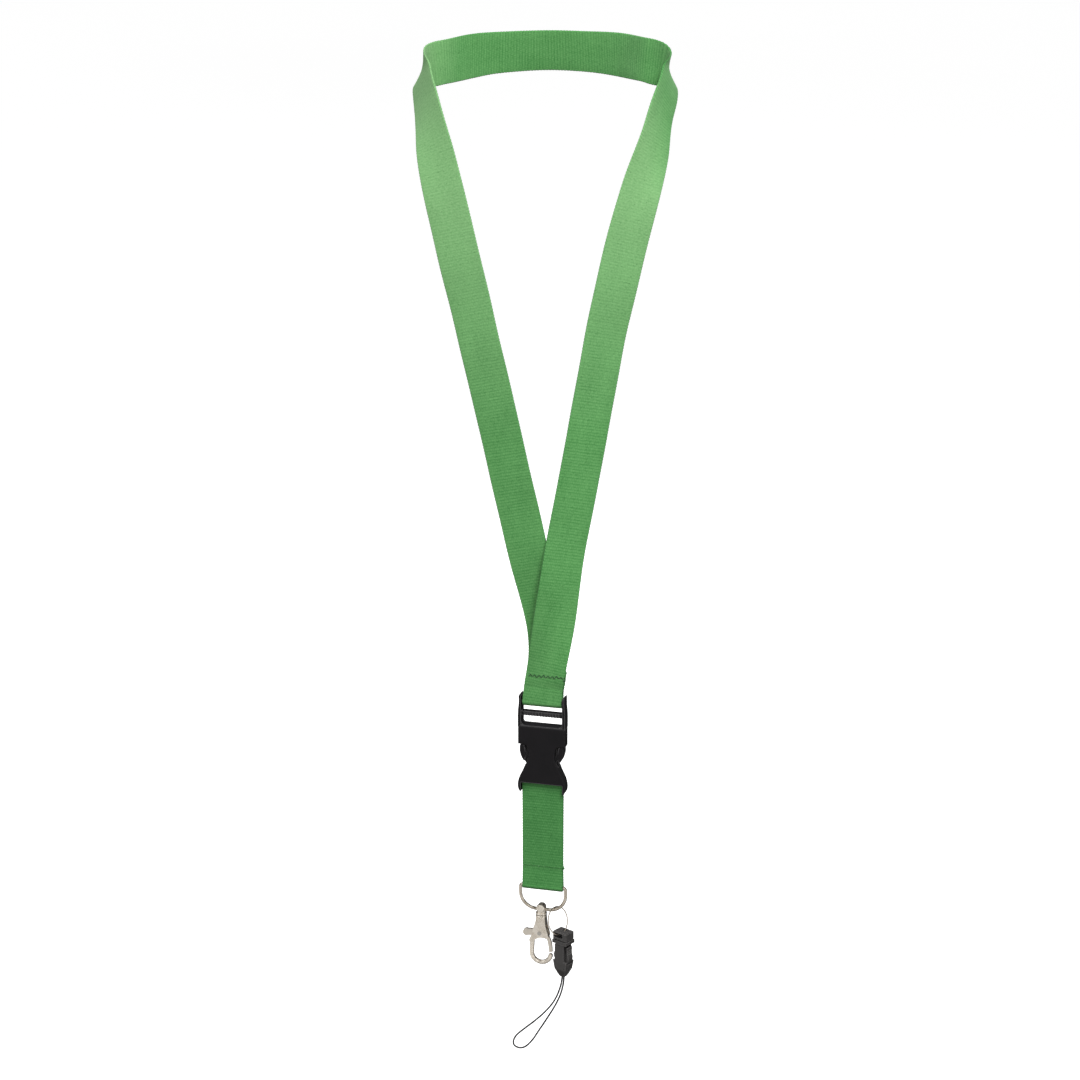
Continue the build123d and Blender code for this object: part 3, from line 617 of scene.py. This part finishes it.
def neck_webbing():
    """The neck strap, softened at its bends and a little wavy where it hangs loose."""
    first, second = neck_edges()
    at, middle, first, second = resample((first + second) / 2, ROW, first, second)
    upper_share = np.clip((middle[:, 2] - LOOSE_FROM_Z) / LOOSE_OVER, 0, 1)[:, None]
    first = first + (soften(first, SOFT_ROWS) - first) * upper_share
    second = second + (soften(second, SOFT_ROWS) - second) * upper_share
    along = unit(np.gradient((first + second) / 2, axis=0))
    normal = unit(np.cross(along, unit(second - first)))
    wave = 0.22 * np.sin(at / 9.1 + 0.6) * np.sin(at / 37.0) + 0.12 * np.sin(at / 5.3 + 1.9)
    tilt = 0.18 * np.sin(at / 12.7 + 2.2) * np.sin(at / 29.0 + 0.8)
    first = first + normal * ((wave + tilt) * upper_share[:, 0])[:, None]
    second = second + normal * ((wave - tilt) * upper_share[:, 0])[:, None]
    strap, length = ribbon("neck_strap", first, second, NECK_GREEN)
    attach(strap, "neck_loop")
    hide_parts("neck_webbing")
    return strap, length


def round_bar(bar_z, bar_r, angles):
    """The webbing's middle line round a bar, as y and z, over the angles in degrees."""
    r = bar_r + BAR_GAP + WEB_MIDDLE
    return [(r * math.cos(a), bar_z + r * math.sin(a)) for a in np.radians(angles)]


def drop_webbing():
    """A closed loop round the buckle's low bar and the D-ring, its two layers nearly touching."""
    line = round_bar(LOW_BAR_Z, LOW_BAR_R, np.arange(90, -31, -5))
    layer = [(PINCH + 0.25, -334.0), (PINCH + 0.1, -345.0), (PINCH, -358.0), (PINCH, STITCH_Z - 2)]
    line += smooth([line[-1]] + layer, LAYER_STEPS)[1:].tolist()
    line += round_bar(RING_BAR_Z, RING_BAR_R, np.arange(30, -91, -5))
    path = np.array(line + [(-y, z) for y, z in line[-2:0:-1]] + line[:1])
    middle = np.column_stack([np.full(len(path), DROP[0]), DROP[1] + HANG_Y + path[:, 0], path[:, 1]])
    middle = resample(middle, ROW)[1][:-1]
    half = np.array([WEB_WIDTH / 2, 0, 0])
    strap, length = ribbon("drop_strap", middle - half, middle + half, SHADED_DROP_GREEN, closed=True)
    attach(strap, "drop_loop")
    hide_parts("drop_webbing")
    return strap, length


# ------------------------------------------------------------------ stitching

TUBE_SIDES = 8
TUBE_END = 0.45                       # share of a tube's radius at its two ends


def tubes(name, lines, radius, material):
    """Thin tubes along lines of points, all in one mesh, mm."""
    n = TUBE_SIDES
    verts, faces, uvs = [], [], []
    for line in lines:
        p = np.array(line, float)
        last = len(p) - 1
        along = unit(np.gradient(p, axis=0))
        up = np.array([0.0, 1.0, 0.0]) if abs(along[0][1]) < 0.9 else np.array([1.0, 0.0, 0.0])
        base = len(verts)
        for i, (c, t) in enumerate(zip(p, along)):
            u = unit(np.cross(up, t))
            v = np.cross(t, u)
            r = radius * (TUBE_END if i in (0, last) else 1.0)
            for k in range(n):
                a = 2 * math.pi * k / n
                verts.append(c + (u * math.cos(a) + v * math.sin(a)) * r)
        run = 0.0
        for i in range(last):
            a = base + i * n
            end = run + float(np.linalg.norm(p[i + 1] - p[i]))
            for k in range(n):
                m = (k + 1) % n
                faces.append((a + k, a + m, a + n + m, a + n + k))
                uvs += [(k / n, run), ((k + 1) / n, run), ((k + 1) / n, end), (k / n, end)]
            run = end
        for row, order in ((0, range(n - 1, -1, -1)), (last, range(n))):
            faces.append([base + row * n + k for k in order])
            uvs += [(k / n, row) for k in order]
    return mesh_object(name, verts, faces, material, uvs)


STITCH_RISE = 0.2                     # height of a stitch's middle above its ends, mm
STITCH_SUNK = 0.12                    # depth of its ends below the cloth's face, mm
NEAR = 60                             # vertices of the cloth that are looked at round a stitch's end


def stitch_line(start, end, face):
    """One stitch that rises from the cloth and goes back into it."""
    a, b = np.array(start, float), np.array(end, float)
    line = []
    for t in np.linspace(0, 1, 7):
        out = STITCH_RISE * math.sin(math.pi * t) ** 0.7 - STITCH_SUNK
        line.append(a + (b - a) * t + np.array((0, face, 0)) * out)
    return line


def cloth_points(strap):
    """The strap's vertices, mm."""
    return np.array([v.co[:] for v in strap.data.vertices]) / MM


def face_y(cloth, x, z, face):
    """Where the cloth's front (-1) or back (1) face is at a point, mm."""
    near = np.argsort(np.hypot(cloth[:, 0] - x, cloth[:, 2] - z))[:NEAR]
    return (cloth[near, 1] * face).max() * face


def zigzag(strap, z, left, right, pitch, height, seed):
    """A zigzag row on both faces of the webbing, between two places given from the drop line, mm."""
    rng = np.random.default_rng(seed)
    cloth = cloth_points(strap)
    cloth = cloth[np.abs(cloth[:, 2] - z) < 3]
    count = int(round((right - left) / pitch))
    lines = []
    for face in (-1, 1):
        points = []
        for i in range(count + 1):
            x = DROP[0] + left + i * (right - left) / count + rng.uniform(-0.12, 0.12)
            level = z + (height if i % 2 else -height) * rng.uniform(0.6, 1.2)
            points.append((x, face_y(cloth, x, level, face), level))
        for a, b in zip(points, points[1:]):
            lines.append(stitch_line(a, b, face))
    return lines


def tuft(strap, x, z, count, reach, seed):
    """Loose thread ends that stand out past the webbing's right-hand edge, mm."""
    rng = np.random.default_rng(seed)
    cloth = cloth_points(strap)
    root = cloth[np.argmin(np.hypot(cloth[:, 0] - DROP[0] - x, cloth[:, 2] - z))]
    lines = []
    for _ in range(count):
        start = root + (-0.5, rng.uniform(-0.5, 0.5), rng.uniform(-0.6, 0.6))
        way = np.array([rng.uniform(0.7, 1.0) * reach, rng.uniform(-0.5, 0.1), rng.uniform(-0.6, 0.6)])
        curl = np.array([0.0, rng.uniform(-0.3, 0.3), rng.uniform(-0.4, 0.4)])
        lines.append([start + way * t + curl * math.sin(math.pi * t) for t in np.linspace(0, 1, 6)])
    return lines


def stitches(name, lines, radius, material, body, node):
    """The thread of one seam, which rides with its webbing and stands for the CAD's stitching."""
    piece = tubes(name, lines, radius, material)
    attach(piece, body)
    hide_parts(node)
    return piece


neck_strap, neck_length = neck_webbing()
drop_strap, drop_length = drop_webbing()

# The join's zigzag, with frayed ends beside it and at the cut end below it.
join_lines = zigzag(neck_strap, JOIN_Z, left=-6.4, right=10.0, pitch=1.0, height=0.75, seed=5)
join_lines += tuft(neck_strap, 10.6, JOIN_Z - 0.6, count=5, reach=1.1, seed=8)
join_lines += tuft(neck_strap, 10.0, -279.2, count=4, reach=0.9, seed=9)
join_thread = stitches("join_thread", join_lines, 0.19, JOIN_GREEN, "neck_loop", "neck_join_stitching")

# The finer row above the D-ring.
drop_lines = zigzag(drop_strap, STITCH_Z, left=-9.3, right=9.3, pitch=1.25, height=0.5, seed=7)
drop_lines += tuft(drop_strap, 9.8, STITCH_Z + 0.2, count=10, reach=1.5, seed=11)
drop_thread = stitches("drop_thread", drop_lines, 0.13, SEAM_GREEN, "drop_loop", "drop_stitching")


# ------------------------------------------------------------------ floor and light

FLOOR_Z = -0.575
FLOOR_R = 14.0
FLOOR_SIDES = 64


def floor():
    """A wide pale disc below the object."""
    mesh = bpy.data.meshes.new("floor")
    angles = np.linspace(0, 2 * math.pi, FLOOR_SIDES, endpoint=False)
    rim = [(FLOOR_R * math.cos(a), FLOOR_R * math.sin(a), FLOOR_Z) for a in angles]
    mesh.from_pydata(rim, [], [list(range(FLOOR_SIDES))])
    mesh.materials.append(floor_paint())
    obj = bpy.data.objects.new("floor", mesh)
    obj.visible_glossy = False
    obj.visible_diffuse = False
    bpy.context.scene.collection.objects.link(obj)


def area_light(name, at, aim, size, energy):
    """A white round light, metres and watts. Shiny metal doesn't mirror it: it sees the world's cards."""
    data = bpy.data.lights.new(name, "AREA")
    data.shape = "DISK"
    data.size = size
    data.energy = energy
    obj = bpy.data.objects.new(name, data)
    obj.location = at
    obj.rotation_euler = (Vector(aim) - Vector(at)).to_track_quat("-Z", "Y").to_euler()
    obj.visible_glossy = False
    bpy.context.scene.collection.objects.link(obj)


# Brightness of the sky from straight down (0) through the horizon (0.5) to straight up (1), as the light that
# falls on the object and as what shiny metal mirrors.
SKY = [(0.0, 0.12), (0.4, 0.18), (0.5, 0.3), (0.75, 0.6), (1.0, 0.9)]
MIRRORED = [(0.0, 0.7), (0.3, 0.95), (0.42, 0.95), (0.52, 0.85), (0.75, 1.05), (1.0, 1.1)]
# What shiny metal mirrors from the front (0) through the sides (0.5) to behind the object (1).
MIRRORED_BEHIND = [(0.0, 0.95), (0.3, 1.15), (0.55, 0.8), (0.72, 0.3), (0.9, 0.12), (1.0, 0.1)]
# A studio's cards as shiny metal sees them: colours over a slow noise, from dark gaps to bright cards.
CARDS = [
    (0.40, (0.05, 0.04, 0.03)),
    (0.46, (0.50, 0.46, 0.41)),
    (0.53, (0.95, 0.93, 0.89)),
    (0.68, (1.3, 1.3, 1.28)),
]


class Sky:
    """The world's node tree and the few calls that it needs."""

    def __init__(self):
        self.world = bpy.data.worlds.new("studio")
        self.world.use_nodes = True
        self.tree = self.world.node_tree
        self.link = self.tree.links.new

    def ramp(self, source, stops):
        """A colour, or a grey where a stop holds one number, for each value of the source."""
        node = self.tree.nodes.new("ShaderNodeValToRGB")
        elements = node.color_ramp.elements
        elements[0].position, elements[1].position = stops[0][0], stops[-1][0]
        for position, _ in stops[1:-1]:
            elements.new(position)
        for element, (_, colour) in zip(elements, stops):
            element.color = (*colour, 1) if isinstance(colour, tuple) else (colour, colour, colour, 1)
        self.link(source, node.inputs[0])
        return node.outputs[0]

    def mix(self, factor, a, b, kind="MIX"):
        node = self.tree.nodes.new("ShaderNodeMix")
        node.data_type = "RGBA"
        node.blend_type = kind
        for socket, value in ((0, factor), (6, a), (7, b)):
            if isinstance(value, bpy.types.NodeSocket):
                self.link(value, node.inputs[socket])
            else:
                node.inputs[socket].default_value = value
        return node.outputs[2]

    def share(self, value):
        """A direction's part from -1 to 1, as 0 to 1."""
        node = self.tree.nodes.new("ShaderNodeMapRange")
        self.link(value, node.inputs["Value"])
        node.inputs["From Min"].default_value = -1.0
        return node.outputs[0]


def world():
    """Soft light that fades below the horizon, with cards for shiny metal and white for the camera."""
    sky = Sky()
    where = sky.tree.nodes.new("ShaderNodeTexCoord").outputs["Generated"]
    split = sky.tree.nodes.new("ShaderNodeSeparateXYZ")
    sky.link(where, split.inputs[0])
    up = sky.share(split.outputs["Z"])
    noise = sky.tree.nodes.new("ShaderNodeTexNoise")
    sky.link(where, noise.inputs["Vector"])
    noise.inputs["Scale"].default_value = 3.1
    noise.inputs["Detail"].default_value = 1.0
    mirrored = sky.mix(1.0, sky.ramp(up, MIRRORED), sky.ramp(noise.outputs[0], CARDS), "MULTIPLY")
    behind = sky.ramp(sky.share(split.outputs["Y"]), MIRRORED_BEHIND)
    mirrored = sky.mix(1.0, mirrored, behind, "MULTIPLY")
    path = sky.tree.nodes.new("ShaderNodeLightPath")
    seen = sky.mix(path.outputs["Is Glossy Ray"], sky.ramp(up, SKY), mirrored)
    seen = sky.mix(path.outputs["Is Camera Ray"], seen, (1, 1, 1, 1))
    sky.link(seen, sky.tree.nodes["Background"].inputs[0])
    bpy.context.scene.world = sky.world


floor()
world()
area_light("key", at=(0.40, -0.60, 0.60), aim=(0.0, -0.07, -0.08), size=0.45, energy=11.0)
area_light("fill", at=(-0.9, -0.9, 0.25), aim=(0.02, -0.08, -0.25), size=0.7, energy=3.0)
area_light("back", at=(-0.35, 0.95, 0.25), aim=(0.0, -0.05, -0.20), size=0.8, energy=8.0)
bpy.context.scene.view_settings.view_transform = "Standard"
